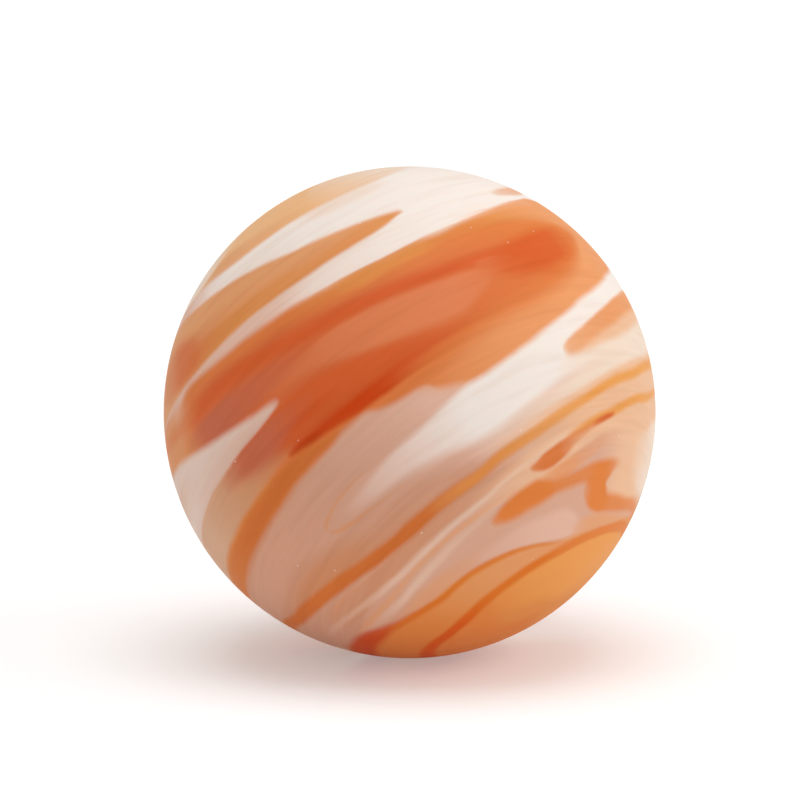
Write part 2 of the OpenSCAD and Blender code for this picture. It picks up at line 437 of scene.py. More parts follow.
STRIPES = (
    Ribbon("peach below the long stripe", Glass.PEACH, (
        (14, -44, -38, 0), (35, -44.5, -36, 0.7), (50, -44, -33.5), (65, -44, -30.5), (80, -44, -27),
        (95, -42, -23), (115, -38, -15), (140, -30, -12, 0),
    ), (2, 1.5)),
    Ribbon("cream above the long stripe", Glass.CREAM, (
        (6, -38.5, -34, 0), (20, -38, -33.5, 0.4), (40, -36, -30.5, 0.8), (55, -33.4, -28),
        (70, -30.5, -24.5), (85, -26.5, -20), (100, -21.5, -15), (125, -13, -7, 0),
    ), (1.5, 2.5)),
    Ribbon("peach above the long stripe", Glass.PEACH, (
        (10, -40, -37, 0), (25, -39, -36, 0.6), (45, -36, -33.2, 0.9), (65, -31.6, -29), (85, -26.5, -24),
        (100, -21.5, -19), (125, -13, -11, 0),
    ), (1.5, 2)),
    Ribbon("long stripe, left", Glass.AMBER, (
        (-125, -22, -18, 0), (-105, -25.6, -21.6), (-95, -27.8, -24), (-90, -28.9, -25.1),
        (-80, -32.4, -28.7), (-70, -35, -31.2), (-60, -37.4, -33.6), (-50, -39.8, -36), (-40, -41.9, -38.2),
        (-30, -43.2, -39.6), (-20, -43.6, -40), (-8, -43.4, -40, 0.9), (4, -42.9, -40, 0.6),
        (16, -42, -39.4, 0.2), (30, -40, -38, 0),
    ), (2, 2)),
    Ribbon("long stripe, middle", Glass.OCHRE, (
        (-14, -43.2, -40.4, 0), (-4, -43, -40.4, 0.7), (5, -42.7, -40.3), (15, -41.2, -38.8),
        (25, -40.4, -38, 0.8), (35, -39.2, -36.8, 0.5), (48, -36.8, -34.4, 0),
    ), (1.8, 1.8)),
    Ribbon("long stripe, right", Glass.HONEY, (
        (10, -42, -39.4, 0), (20, -41, -38.6, 0.4), (30, -39.8, -37.4, 0.7), (45, -37.4, -35, 0.9),
        (55, -35.2, -32.8), (65, -33, -30.6), (75, -31, -28.6), (85, -27.7, -25.3), (95, -24.6, -22.2, 0.8),
        (110, -19.5, -17, 0),
    ), (1.8, 1.8)),
    Ribbon("peach between the stripes", Glass.PEACH, (
        (-6, -50.4, -45.6, 0), (8, -50.4, -44.6, 0.5), (20, -50.6, -43, 0.8), (34, -49.6, -42, 0.9),
        (48, -46, -39.8, 0.9), (62, -43, -37.6, 0.6), (78, -38, -34, 0),
    )),
    Ribbon("second stripe", Glass.HONEY, (
        (38, -44.4, -42.4, 0), (45, -43.1, -40.9, 0.8), (55, -41.4, -39.2), (65, -39.6, -37.4),
        (75, -37.1, -34.9), (85, -35.1, -32.9, 0.9), (100, -29.5, -27.5, 0.8), (125, -23, -21, 0.5),
        (145, -20, -18, 0),
    ), (1.6, 1.6)),
    Ribbon("apricot under the dash", Glass.APRICOT, (
        (20, -52, -50, 0), (28, -52.4, -49.4, 0.6), (36, -52, -48.4, 0.8), (46, -50, -46.6, 0.5),
        (56, -47.6, -44.4, 0.3), (70, -45, -43, 0),
    ), (1.5, 1.5)),
    Ribbon("dash", Glass.ORANGE, (
        (22.5, -46.9, -46.2, 0), (25, -47.8, -45.7, 0.9), (30, -48.5, -44.3), (34, -48, -43.7),
        (38, -46.8, -43.1, 0.85), (44, -44.6, -42.2, 0.55), (50, -43, -41.2, 0.5), (56, -41.6, -40, 0.5),
        (63, -39.8, -38.8, 0),
    ), (1.5, 1.2)),
    Ribbon("deep end of the dash", Glass.RUST, (
        (50, -42.4, -41.4, 0), (54, -41.8, -40.4, 0.7), (58, -41, -39.7, 0.9), (62.5, -40, -39.2, 0),
    ), (1, 1)),
    Ribbon("peach right flank", Glass.PEACH, (
        (54, -52, -42, 0), (62, -59, -41, 0.5), (72, -60, -39, 0.95), (85, -60, -37), (100, -58, -35, 0.7),
        (116, -54, -34, 0),
    ), (2, 3)),
    Ribbon("cream right flank", Glass.CREAM, (
        (76, -53, -44, 0), (86, -54, -42, 0.5), (94, -55, -38, 0.85), (102, -54, -36), (112, -52, -35),
        (130, -47, -36, 0.8), (160, -42, -38, 0),
    ), (4, 3)),
    Ribbon("umber below the long stripe", Glass.UMBER, (
        (-78, -42, -38, 0), (-66, -45, -39, 0.35), (-55, -46.5, -40.6, 0.55), (-35, -47.2, -43, 0.65),
        (-10, -47, -43.4, 0.6), (10, -46, -42.6, 0.3), (24, -44, -42, 0),
    ), (2, 1)),
    Ribbon("pale line", Glass.CREAM, (
        (-92, -37.4, -36.2, 0), (-78, -40.4, -38.6, 0.15), (-66, -43.8, -42, 0.25),
        (-56, -46.2, -44.4, 0.35), (-48, -47.6, -45.8, 0.4), (-35, -48.9, -47.4, 0.4),
        (-20, -48.9, -47.8, 0.5), (-8, -48.5, -47.4, 0.5), (4, -47.7, -46.8, 0.5), (16, -46.2, -45.3, 0.4),
        (28, -44.4, -43.5, 0.35), (40, -42.4, -41.5, 0.25), (54, -39.6, -38.8, 0),
    ), (1.6, 1.6)),
    Ribbon("sand line", Glass.TAN, (
        (-80, -46.4, -44.6, 0), (-62, -49.4, -47.4, 0.5), (-45, -50.6, -49.2, 0.5),
        (-28, -50.6, -49.2, 0.5), (-10, -50.4, -49, 0.5), (4, -50.4, -49, 0.4), (18, -50.4, -48.4, 0),
    ), (1.2, 1.2)),
    Ribbon("pale band", Glass.CREAM, (
        (-80, -47, -44.8, 0), (-66, -50.6, -48.4, 0.15), (-56, -52.6, -50.4, 0.3), (-44, -53.6, -51.6, 0.4),
        (-28, -53.6, -51.6, 0.35), (-12, -52.8, -51, 0.25), (2, -51.8, -50.4, 0.2), (14, -50, -49, 0),
    ), (2, 1.8)),
    Ribbon("sand over the dark stripe", Glass.TAN, (
        (-66, -56, -53, 0), (-52, -58, -54, 0.5), (-36, -60, -55, 0.6), (-22, -60.6, -56.4, 0.4),
        (-8, -61, -58, 0),
    ), (1.2, 3)),
)

ZIGZAG = (
    Ribbon("zigzag, upper leg", Glass.TANGERINE, (
        (0.5, -54.4, -53.8, 0), (4, -55.2, -52.6, 0.8), (10, -56, -51), (16, -56.2, -50.2),
        (23, -56.2, -49.8), (28, -55.8, -51), (32, -55.4, -51.8, 0.9), (40, -55.4, -51.6, 0.85),
        (45, -55.2, -51.2, 0.85), (50, -56, -50.6, 0.9), (56, -57, -50.4), (60, -56.6, -50.3, 0.95),
        (63, -54.2, -50.4, 0.8), (66, -52.4, -50.6, 0.5), (70, -51.6, -51, 0),
    ), (2.6, 2.2)),
    Ribbon("zigzag, lower leg", Glass.TANGERINE, (
        (46, -58, -56.5, 0), (50, -60.8, -54.6, 0.8), (55, -62.6, -53.4), (59, -63.4, -54.6),
        (62, -63.5, -57.4), (66, -63.4, -58.6, 0.95), (72, -63.2, -58.6, 0.9), (80, -62.6, -58.6, 0.9),
        (95, -60.4, -57, 0.85), (120, -56.4, -53.6, 0.6), (150, -52, -50, 0),
    ), (2.2, 2.4)),
    Ribbon("rose below the zigzag", Glass.ROSE, (
        (-20, -60.8, -59.4, 0), (-6, -62.4, -59.4, 0.4), (10, -65, -59, 0.7), (24, -67, -59.6, 0.9),
        (38, -68.2, -60.6, 0.9), (48, -68.4, -64.6, 0.5), (60, -67, -65, 0),
    ), (1.4, 3)),
    Ribbon("tan below the zigzag", Glass.TAN, (
        (40, -69, -65.6, 0), (52, -69.4, -64, 0.6), (66, -68.6, -63.8, 0.8), (80, -67, -63.2, 0.8),
        (100, -63, -60.5, 0.5), (120, -59, -57, 0),
    ), (1.4, 2.4)),
)

FOOT = (
    Ribbon("tangerine at the lower left", Glass.TANGERINE, (
        (-170, -60, -40, 0), (-120, -66, -42, 0.8), (-95, -68, -45, 0.8), (-80, -67, -49, 0.7),
        (-65, -67, -55, 0.5), (-50, -68, -58, 0.3), (-30, -69, -61, 0),
    ), (4, 2)),
    Ribbon("tan between the lines", Glass.TAN, (
        (-60, -68, -60, 0), (-20, -71, -63, 0.6), (10, -71.5, -66, 0.8), (30, -71.5, -68.5, 0.8),
        (60, -69.5, -68, 0),
    ), (1.2, 2)),
    Ribbon("dark stripe", Glass.EMBER, (
        (-150, -37, -34, 0), (-125, -42, -36, 0.8), (-105, -46, -39.5, 0.85), (-90, -49, -42.4, 0.85),
        (-80, -51.2, -45, 0.9), (-75, -52.4, -47, 0.85), (-70, -53.6, -49.6, 0.75),
        (-60, -56.8, -54.4, 0.6), (-50, -59.4, -57.5, 0.4), (-40, -61.3, -59.7, 0.15), (-30, -62, -60.6, 0),
    ), (3, 3)),
    Ribbon("dark stripe's tail", Glass.TOPAZ, (
        (-70, -54, -51.6, 0), (-60, -57, -54.8, 0.8), (-50, -59.6, -57.6, 0.9), (-40, -61.4, -59.7, 0.9),
        (-20, -62.5, -60.8, 0.7), (0, -64.9, -63.3, 0.6), (16, -67.2, -66, 0.5), (28, -68.8, -67.8, 0.4),
        (40, -69.6, -69, 0),
    ), (1.4, 1.4)),
    Ribbon("left of the cap", Glass.TANGERINE, (
        (-170, -86, -58, 0), (-120, -84, -60, 0.8), (-90, -80, -65, 0.8), (-60, -78, -71, 0.6),
        (-10, -78, -74, 0.3), (30, -78, -74, 0),
    ), (7, 2)),
    Ribbon("right of the cap", Glass.HONEY, (
        (-60, -88, -76, 0), (-20, -88, -73, 0.4), (20, -88, -73, 0.7), (90, -88, -67, 0.85),
        (130, -88, -60, 0.5), (160, -88, -56, 0),
    ), (8, 2)),
    Ribbon("line round the lower pole", Glass.TOPAZ, (
        (0, -73.8, -71), (20, -73.6, -70.9), (40, -72.8, -70.3), (60, -71, -68.6), (80, -68.4, -66.2),
        (100, -64.8, -62.4), (120, -61.2, -58.8), (150, -56.2, -53.3), (180, -53.7, -50.2),
        (210, -54.6, -50.8), (240, -58.7, -54.8), (260, -61.3, -57.7), (270, -63.8, -60.2),
        (280, -66.8, -63.2), (290, -69.2, -65.8), (300, -70.8, -67.6), (320, -72.6, -69.5),
        (340, -73.5, -70.6), (360, -73.8, -71),
    )),
    Ribbon("tangerine right of the line", Glass.TANGERINE, (
        (20, -73.5, -71, 0), (50, -72, -69.4, 0.7), (80, -68.4, -66.2, 0.9), (120, -61.2, -58.8, 0.8),
        (150, -56.2, -53.3, 0),
    )),
    Ribbon("deep left of the line", Glass.BURNT, (
        (-150, -56, -52.6, 0), (-120, -57.4, -53.4, 0.8), (-100, -61.3, -57.7), (-90, -63.8, -60.2),
        (-80, -66.8, -63.2), (-70, -69.2, -65.8), (-60, -70.8, -67.6, 0.8), (-40, -72.6, -69.5, 0.3),
        (-20, -73.6, -70.6, 0),
    )),
)

SWIRL = (
    *GROUND, *BACK, *UPPER_STREAKS, *ORANGE_FIELD, *LEFT_EDGE, *MAIN_WHITE, *STRIPES, *ZIGZAG, *FOOT,
)


class Wiring:
    """Adds nodes to one node tree and joins their sockets."""

    def __init__(self, tree: bpy.types.NodeTree) -> None:
        """Keeps the tree and clears what Blender put in it."""
        self.tree = tree
        tree.nodes.clear()

    def node(
        self, kind: str, feeds: Mapping[str | int, object] | None = None, **settings: object
    ) -> bpy.types.Node:
        """Adds a node.

        Args:
            kind: Blender's name for the kind of node.
            feeds: For each input, by name or number, the socket that feeds it or its value.
            **settings: The node's own settings.

        Returns:
            The new node.
        """
        added = self.tree.nodes.new(kind)
        for name, value in settings.items():
            setattr(added, name, value)
        for key, value in (feeds or {}).items():
            self.feed(added.inputs[key], value)
        return added

    def feed(self, target: Socket, value: object) -> None:
        """Joins an input to a socket, or gives it a value.

        Args:
            target: The input.
            value: A socket, or the input's new value.
        """
        if isinstance(value, bpy.types.NodeSocket):
            self.tree.links.new(value, target)
        else:
            target.default_value = value

    def math(self, operation: str, *values: object) -> Socket:
        """Adds a Math node.

        Args:
            operation: Blender's name for the operation.
            *values: Sockets or numbers.

        Returns:
            The result.
        """
        return self.node("ShaderNodeMath", dict(enumerate(values)), operation=operation).outputs[0]

    def ramp(self, value: object, low: object, high: object) -> Socket:
        """Eases a value from 0 at low to 1 at high, and holds it there.

        Args:
            value: The socket to read.
            low: Where the result is 0.
            high: Where the result is 1.

        Returns:
            The result, from 0 to 1.
        """
        # a smooth step holds its ends by itself, and a clamp would keep every ribbon on the shader's stack
        return self.node(
            "ShaderNodeMapRange",
            {"Value": value, "From Min": low, "From Max": high},
            interpolation_type="SMOOTHSTEP",
            clamp=False,
        ).outputs["Result"]

    def mix(self, factor: object, under: object, over: object, blend: str = "MIX") -> Socket:
        """Lays one colour over another.

        Args:
            factor: How much of the upper colour shows.
            under: The lower colour.
            over: The upper colour.
            blend: Blender's name for the way they blend.

        Returns:
            The mixed colour.
        """
        feeds = {0: factor, 6: under, 7: over}
        mixer = self.node("ShaderNodeMix", feeds, data_type="RGBA", blend_type=blend)
        return mixer.outputs[2]

    def group(self, tree: bpy.types.NodeTree, feeds: Mapping[str, object] | None = None) -> bpy.types.Node:
        """Places a node group.

        Args:
            tree: The group.
            feeds: For each named input, its socket or value.

        Returns:
            The group's node.
        """
        placed = self.tree.nodes.new("ShaderNodeGroup")
        placed.node_tree = tree
        for key, value in (feeds or {}).items():
            self.feed(placed.inputs[key], value)
        return placed


def new_group(
    name: str, inputs: Mapping[str, str], outputs: Mapping[str, str]
) -> tuple[Wiring, bpy.types.Node]:
    """Makes an empty shader node group.

    Args:
        name: The group's name.
        inputs: The kind of socket of each named input.
        outputs: The kind of socket of each named output.

    Returns:
        The wiring of the group, and its input node.
    """
    tree = bpy.data.node_groups.new(name, "ShaderNodeTree")
    for label, kind in inputs.items():
        tree.interface.new_socket(label, in_out="INPUT", socket_type=kind)
    for label, kind in outputs.items():
        tree.interface.new_socket(label, in_out="OUTPUT", socket_type=kind)
    wiring = Wiring(tree)
    return wiring, wiring.node("NodeGroupInput")


@dataclass(frozen=True)
class SwirlFrame:
    """The swirl's own frame, as the part has it: its axis and its front.

    Attributes:
        roll: Lean of the axis to the left, in degrees, seen from the front.
        lean: Lean of the axis away from the front, in degrees.
        tilt: Tilt of the swirl's fullest side above the horizontal, in degrees.
        waver: How far the edges of the ribbons waver, in degrees.
        waver_along: How quickly they waver along the flow.
        waver_across: How quickly they waver across it.
    """

    roll: float = 35.0
    lean: float = 20.0
    tilt: float = 12.0
    waver: float = 0.5
    waver_along: float = 5.0
    waver_across: float = 40.0

    def group(self, flow: bpy.types.NodeTree) -> bpy.types.NodeTree:
        """Builds the group that gives each point its place in the swirl.

        Args:
            flow: The flow group.

        Returns:
            The group. Its place holds the longitude, the longitude turned to run from 0, and the
            wavering latitude as a share of the way from the lower pole to the upper one. They
            arrive together, so that the shader can lay one ribbon after the other.
        """
        wiring, _ = new_group("Swirl place", {}, {"Place": VECTOR, "Direction": VECTOR})
        direction = wiring.node("ShaderNodeTexCoord").outputs["Object"]
        direction = wiring.node("ShaderNodeVectorMath", {0: direction}, operation="NORMALIZE").outputs[0]
        for axis, angle in (("X_AXIS", self.tilt), ("Y_AXIS", self.roll), ("X_AXIS", self.lean)):
            feeds = {"Vector": direction, "Angle": math.radians(angle)}
            direction = wiring.node("ShaderNodeVectorRotate", feeds, rotation_type=axis).outputs[0]
        parts = wiring.node("ShaderNodeSeparateXYZ", {0: direction}).outputs
        towards_front = wiring.math("MULTIPLY", parts["Y"], -1.0)
        longitude = wiring.math("DEGREES", wiring.math("ARCTAN2", parts["X"], towards_front))
        behind = wiring.math("LESS_THAN", longitude, 0.0)
        turned = wiring.math("MULTIPLY_ADD", behind, FULL_TURN, longitude)
        latitude = wiring.math("DEGREES", wiring.math("ARCSINE", parts["Z"]))
        latitude = wiring.math("MULTIPLY_ADD", latitude, 1.0 / HALF_TURN, 0.5)
        stretched = wiring.group(
            flow,
            {
                "Direction": direction,
                "Latitude": latitude,
                "Along": self.waver_along,
                "Across": self.waver_across,
            },
        )
        cloud = wiring.node(
            "ShaderNodeTexNoise",
            {"Vector": stretched.outputs["Flow"], "Scale": 1.0, "Detail": 3.0, "Roughness": 0.55},
        ).outputs[0]
        shift = wiring.math("SUBTRACT", cloud, 0.5)
        latitude = wiring.math("MULTIPLY_ADD", shift, 2.0 * self.waver / HALF_TURN, latitude)
        place = wiring.node("ShaderNodeCombineXYZ", {0: longitude, 1: turned, 2: latitude}).outputs[0]
        wiring.node("NodeGroupOutput", {"Place": place, "Direction": direction})
        return wiring.tree


def ribbon_mask_group() -> bpy.types.NodeTree:
    """Builds the group that says how much a ribbon covers at each point.

    Returns:
        The group. It takes the ribbon's edges and density at the point's own longitude.
    """
    labels = ("Latitude", "Lower edge", "Upper edge", "Density", "Lower feather", "Upper feather")
    wiring, given = new_group("Ribbon mask", dict.fromkeys(labels, FLOAT), {"Mask": FLOAT})
    latitude, low, high, density, low_feather, high_feather = given.outputs[:len(labels)]
    above_low = wiring.math("SUBTRACT", latitude, low)
    below_high = wiring.math("SUBTRACT", high, latitude)
    lower = wiring.ramp(above_low, wiring.math("MULTIPLY", low_feather, -1.0), low_feather)
    upper = wiring.ramp(below_high, wiring.math("MULTIPLY", high_feather, -1.0), high_feather)
    cover = wiring.math("MULTIPLY", wiring.math("MULTIPLY", lower, upper), density)
    wiring.node("NodeGroupOutput", {"Mask": cover})
    return wiring.tree


def flow_group() -> bpy.types.NodeTree:
    """Builds the group that stretches space along the swirl, so that noise in it turns into streaks.

    Returns:
        The group. Its flow is a vector whose third part grows quickly across the streaks.
    """
    wiring, given = new_group(
        "Flow", {"Direction": VECTOR, "Latitude": FLOAT, "Along": FLOAT, "Across": FLOAT}, {"Flow": VECTOR}
    )
    feeds = {0: given.outputs["Direction"], "Scale": given.outputs["Along"]}
    along = wiring.node("ShaderNodeVectorMath", feeds, operation="SCALE").outputs[0]
    parts = wiring.node("ShaderNodeSeparateXYZ", {0: along}).outputs
    # the streaks sag at the front and rise towards both sides, as the lower stripes do
    sag = wiring.math("MULTIPLY", parts["Y"], SAG)
    across = wiring.math("MULTIPLY_ADD", given.outputs["Latitude"], given.outputs["Across"], sag)
    flow = wiring.node("ShaderNodeCombineXYZ", {0: parts["X"], 1: parts["Y"], 2: across}).outputs[0]
    wiring.node("NodeGroupOutput", {"Flow": flow})
    return wiring.tree


@dataclass(frozen=True)
class Streaks:
    """One kind of fine streak along the flow.

    Attributes:
        along: How quickly the streaks change along the flow.
        across: How quickly they change across it.
        faint: The noise below which there is none.
        full: The noise above which they are at their strongest.
        tint: What they multiply the glass' colour by.
    """

    along: float
    across: float
    faint: float
    full: float
    tint: tuple[float, float, float, float]


DARK_STREAKS = Streaks(1.6, 60.0, 0.42, 0.75, (0.95, 0.915, 0.885, 1.0))
LIGHT_STREAKS = Streaks(2.4, 170.0, 0.45, 0.75, (1.03, 1.02, 1.01, 1.0))


@dataclass(frozen=True)
class PinholeGlints:
    """Painted highlights: a few pale dots that stand in for light glinting in tiny pinholes of the surface.

    Attributes:
        spacing: Width of the cells that can each hold one, in metres.
        core: Radius of a pinhole's even middle, in metres.
        radius: Its whole radius, in metres.
        share: Share of the cells that hold one.
        strength: How much of the glass' colour they hide.
    """

    spacing: float = 0.0004
    core: float = 0.00002
    radius: float = 0.000048
    share: float = 0.06
    strength: float = 0.45

    def over(self, wiring: Wiring, colour: Socket) -> Socket:
        """Paints the pinhole glints, pale dots of painted highlight, over a colour.

        Args:
            wiring: The material's wiring.
            colour: The colour of the glass.

        Returns:
            The colour with the painted glints.
        """
        place = wiring.node("ShaderNodeTexCoord").outputs["Object"]
        cells = wiring.node("ShaderNodeTexVoronoi", {"Vector": place, "Scale": 1.0 / self.spacing}).outputs
        outside = wiring.ramp(cells["Distance"], self.core / self.spacing, self.radius / self.spacing)
        chance = wiring.node("ShaderNodeSeparateColor", {0: cells["Color"]}).outputs[0]
        chosen = wiring.ramp(chance, 1.0 - self.share, 1.0 - self.share + CHOICE_EDGE)
        covered = wiring.math("MULTIPLY", wiring.math("MULTIPLY_ADD", outside, -1.0, 1.0), chosen)
        # painted highlight: the chosen dots are lightened towards milk white, standing in for light
        # glinting in the pinholes
        return wiring.mix(wiring.math("MULTIPLY", covered, self.strength), colour, Glass.MILK.linear)


@dataclass(frozen=True)
class SwirledGlass:
    """The marble's finish: opaque swirled glass with a satin, frosted surface.

    Attributes:
        swirl: The frame that the ribbons are laid out in.
        streaks: The fine streaks along the flow.
        calm: Where the streaks start and stop to fade towards the poles, as shares of half a turn
            from the equator.
        pinhole_glints: Pale dots of painted highlight, standing in for light glinting in tiny pinholes.
        roughness: Roughness of the satin surface.
        grain: Grains of the frosting in a metre.
        grain_roughness: How much the roughness varies from grain to grain.
        grain_height: How high the grains are, in metres.
        gloss: Strength of its reflection.
        scatter: Share of the light that passes under the surface.
        scatter_depth: How far red light passes under the surface, in metres.
    """

    swirl: SwirlFrame = SwirlFrame()
    streaks: tuple[Streaks, ...] = (DARK_STREAKS, LIGHT_STREAKS)
    calm: tuple[float, float] = (0.24, 0.36)
    pinhole_glints: PinholeGlints = PinholeGlints()
    roughness: float = 0.5
    grain: float = 9000.0
    grain_roughness: float = 0.12
    grain_height: float = 0.000001
    gloss: float = 0.07
    scatter: float = 0.2
    scatter_depth: float = 0.0006

    def build(self) -> bpy.types.Material:
        """Builds the material.

        Returns:
            The swirled glass.
        """
        material = bpy.data.materials.new("swirled glass")
        material.use_nodes = True
        wiring = Wiring(material.node_tree)
        flow = flow_group()
        point = wiring.group(self.swirl.group(flow)).outputs
        place = wiring.node("ShaderNodeSeparateXYZ", {0: point["Place"]}).outputs
        colour = self.swirled_colour(wiring, *place)
        colour = self.streaked(wiring, point["Direction"], place[2], flow, colour)
        # painted highlights: pale glints of light in tiny pinholes, laid over the colour
        colour = self.pinhole_glints.over(wiring, colour)
        self.finish(wiring, colour)
        return material

    def swirled_colour(self, wiring: Wiring, longitude: Socket, turned: Socket, latitude: Socket) -> Socket:
        """Lays the ribbons over each other.

        Args:
            wiring: The material's wiring.
            longitude: Each point's longitude, from -180 to 180 degrees.
            turned: Its longitude from 0 to 360 degrees, for the ribbons that pass over the back.
            latitude: Its latitude, as a share of half a turn.

        Returns:
            The colour of the swirl.
        """
        mask = ribbon_mask_group()
        colour: Socket | tuple[float, ...] = Glass.OCHRE.linear
        for ribbon in SWIRL:
            cover = self.cover(wiring, mask, ribbon, turned if ribbon.passes_back else longitude, latitude)
            colour = wiring.mix(cover, colour, ribbon.glass.linear)
        return colour

    @staticmethod
    def cover(
        wiring: Wiring, mask: bpy.types.NodeTree, ribbon: Ribbon, longitude: Socket, latitude: Socket
    ) -> Socket:
        """Says how much one ribbon covers.

        Args:
            wiring: The material's wiring.
            mask: The ribbon mask group.
            ribbon: The ribbon.
            longitude: The longitude of each point.
            latitude: The latitude of each point.

        Returns:
            The cover, from 0 to 1.
        """
        span = ribbon.end - ribbon.start
        along = wiring.math("MULTIPLY_ADD", longitude, 1.0 / span, -ribbon.start / span)
        low, high, density = (curve_along(wiring, along, ribbon, track) for track in ribbon.tracks)
        lower, upper = ribbon.feather
        return wiring.group(
            mask,
            {
                "Latitude": latitude,
                "Lower edge": low,
                "Upper edge": high,
                "Density": density,
                "Lower feather": lower / HALF_TURN / 2,
                "Upper feather": upper / HALF_TURN / 2,
            },
        ).outputs["Mask"]

    def streaked(
        self, wiring: Wiring, direction: Socket, latitude: Socket, flow: bpy.types.NodeTree, colour: Socket
    ) -> Socket:
        """Draws fine light and dark streaks along the flow.

        Args:
            wiring: The material's wiring.
            direction: Each point's direction in the swirl's frame.
            latitude: Its latitude, as a share of half a turn.
            flow: The flow group.
            colour: The colour to streak.

        Returns:
            The streaked colour.
        """
        # round the poles the streaks would close into rings, so they fade out there
        from_equator = wiring.math("ABSOLUTE", wiring.math("SUBTRACT", latitude, 0.5))
        near_poles = wiring.ramp(from_equator, *self.calm)
        away_from_poles = wiring.math("MULTIPLY_ADD", near_poles, -1.0, 1.0)
        for streaks in self.streaks:
            stretched = wiring.group(
                flow,
                {
                    "Direction": direction,
                    "Latitude": latitude,
                    "Along": streaks.along,
                    "Across": streaks.across,
                },
            )
            cloud = wiring.node(
                "ShaderNodeTexNoise",
                {"Vector": stretched.outputs["Flow"], "Scale": 1.0, "Detail": 2.0, "Roughness": 0.6},
            ).outputs[0]
            strength = wiring.ramp(cloud, streaks.faint, streaks.full)
            amount = wiring.math("MULTIPLY", strength, away_from_poles)
            colour = wiring.mix(amount, colour, streaks.tint, blend="MULTIPLY")
        return colour

    def finish(self, wiring: Wiring, colour: Socket) -> None:
        """Gives the glass its satin surface.

        Args:
            wiring: The material's wiring.
            colour: The colour of the glass.
        """
        place = wiring.node("ShaderNodeTexCoord").outputs["Object"]
        feeds = {"Vector": place, "Scale": self.grain, "Detail": 2.0}
        cloud = wiring.node("ShaderNodeTexNoise", feeds).outputs[0]
        smoothest = self.roughness - self.grain_roughness / 2
        roughness = wiring.math("MULTIPLY_ADD", cloud, self.grain_roughness, smoothest)
        bump = wiring.node("ShaderNodeBump", {"Height": cloud, "Distance": self.grain_height})
        shader = wiring.node(
            "ShaderNodeBsdfPrincipled",
            {
                "Base Color": colour,
                "Roughness": roughness,
                "IOR": 1.5,
                "Specular IOR Level": self.gloss,
                "Normal": bump.outputs[0],
                "Subsurface Weight": self.scatter,
                "Subsurface Radius": (1.0, 0.55, 0.35),
                "Subsurface Scale": self.scatter_depth,
            },
        )
        wiring.node("ShaderNodeOutputMaterial", {"Surface": shader.outputs[0]})


def curve_along(wiring: Wiring, along: Socket, ribbon: Ribbon, track: tuple[float, ...]) -> Socket | float:
    """Adds a curve that gives one value of a ribbon along its course.

    Args:
        wiring: The material's wiring.
        along: How far along the ribbon each point is, 0 at its start and 1 at its end.
        ribbon: The ribbon.
        track: The value at each station.

    Returns:
        The value, or just a number where it is the same all along.
    """
    if len(set(track)) == 1:
        return track[0]
    node = wiring.node("ShaderNodeFloatCurve", {"Value": along}, label=ribbon.name)
    node.mapping.extend = "HORIZONTAL"
    points = node.mapping.curves[0].points
    while len(points) < len(track):
        points.new(0.5, 0.5)
    for point, station, height in zip(points, ribbon.course, track):
        point.location = ((station[0] - ribbon.start) / (ribbon.end - ribbon.start), height)
        point.handle_type = "AUTO_CLAMPED"
    node.mapping.update()
    return node.outputs[0]


def finished_mesh(name: str, built: bmesh.types.BMesh, material: bpy.types.Material) -> bpy.types.Mesh:
    """Turns a built form into a mesh.

    Args:
        name: The mesh's name.
        built: The form, which is freed.
        material: The mesh's one material.

    Returns:
        The mesh.
    """
    mesh = bpy.data.meshes.new(name)
    built.to_mesh(mesh)
    built.free()
    mesh.materials.append(material)
    return mesh


def placed(name: str, data: bpy.types.ID) -> bpy.types.Object:
    """Puts a mesh, a light or a camera into the scene.

    Args:
        name: The object's name.
        data: What the object shows or does.

    Returns:
        The object, at the origin.
    """
    made = bpy.data.objects.new(name, data)
    bpy.context.scene.collection.objects.link(made)
    return made


@dataclass
class Marble:
    """The marble itself: a ball about the origin.

    Attributes:
        radius: Radius of the ball, in metres.
        subdivisions: How often the ball's first twenty faces are divided.
        glass: The finish.
    """

    radius: float
    subdivisions: int = 7
    glass: SwirledGlass = SwirledGlass()

    def build(self) -> bpy.types.Object:
        """Models and dresses the ball.

        Returns:
            The ball, which rides on the root body and stands for the part's own solid.
        """
        ball = bmesh.new()
        bmesh.ops.create_icosphere(ball, subdivisions=self.subdivisions, radius=self.radius)
        mesh = finished_mesh("marble_ball", ball, self.glass.build())
        mesh.shade_smooth()
        piece = placed("marble_ball", mesh)
        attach(piece, "root")
        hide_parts("marble")
        log.info("%s: %d faces, radius %.3f mm", piece.name, len(mesh.polygons), self.radius / MILLIMETRE)
        return piece


@dataclass(frozen=True)
class Softbox:
    """A square area light that looks at the marble.

    Attributes:
        name: What the light is.
        azimuth: Where it stands round the marble, in degrees: 0 is in front, 90 to the right.
        elevation: How high it stands, in degrees above the horizontal.
        distance: How far off it stands, in metres.
        side: Length of its side, in metres.
        power: Its power, in watts.
    """

    name: str
    azimuth: float
    elevation: float
    distance: float
    side: float
    power: float

    def build(self) -> bpy.types.Object:
        """Makes the light.

        Returns:
            The light's object.
        """
        lamp = bpy.data.lights.new(self.name, "AREA")
        lamp.energy = self.power
        lamp.size = self.side
        light = placed(self.name, lamp)
        towards = outwards(self.azimuth, self.elevation)
        light.location = towards * self.distance
        light.rotation_euler = (-towards).to_track_quat("-Z", "Y").to_euler()
        return light


def grey(level: float) -> tuple[float, float, float, float]:
    """An even grey, where 0 is black and 1 is white."""
    return level, level, level, 1.0


def outwards(azimuth: float, elevation: float) -> Vector:
    """Points from the marble outwards.

    Args:
        azimuth: Degrees round the marble: 0 is in front, towards -Y, and 90 to the right.
        elevation: Degrees above the horizontal.

    Returns:
        The unit vector.
    """
    turn, rise = math.radians(azimuth), math.radians(elevation)
    return Vector((math.sin(turn) * math.cos(rise), -math.cos(turn) * math.cos(rise), math.sin(rise)))


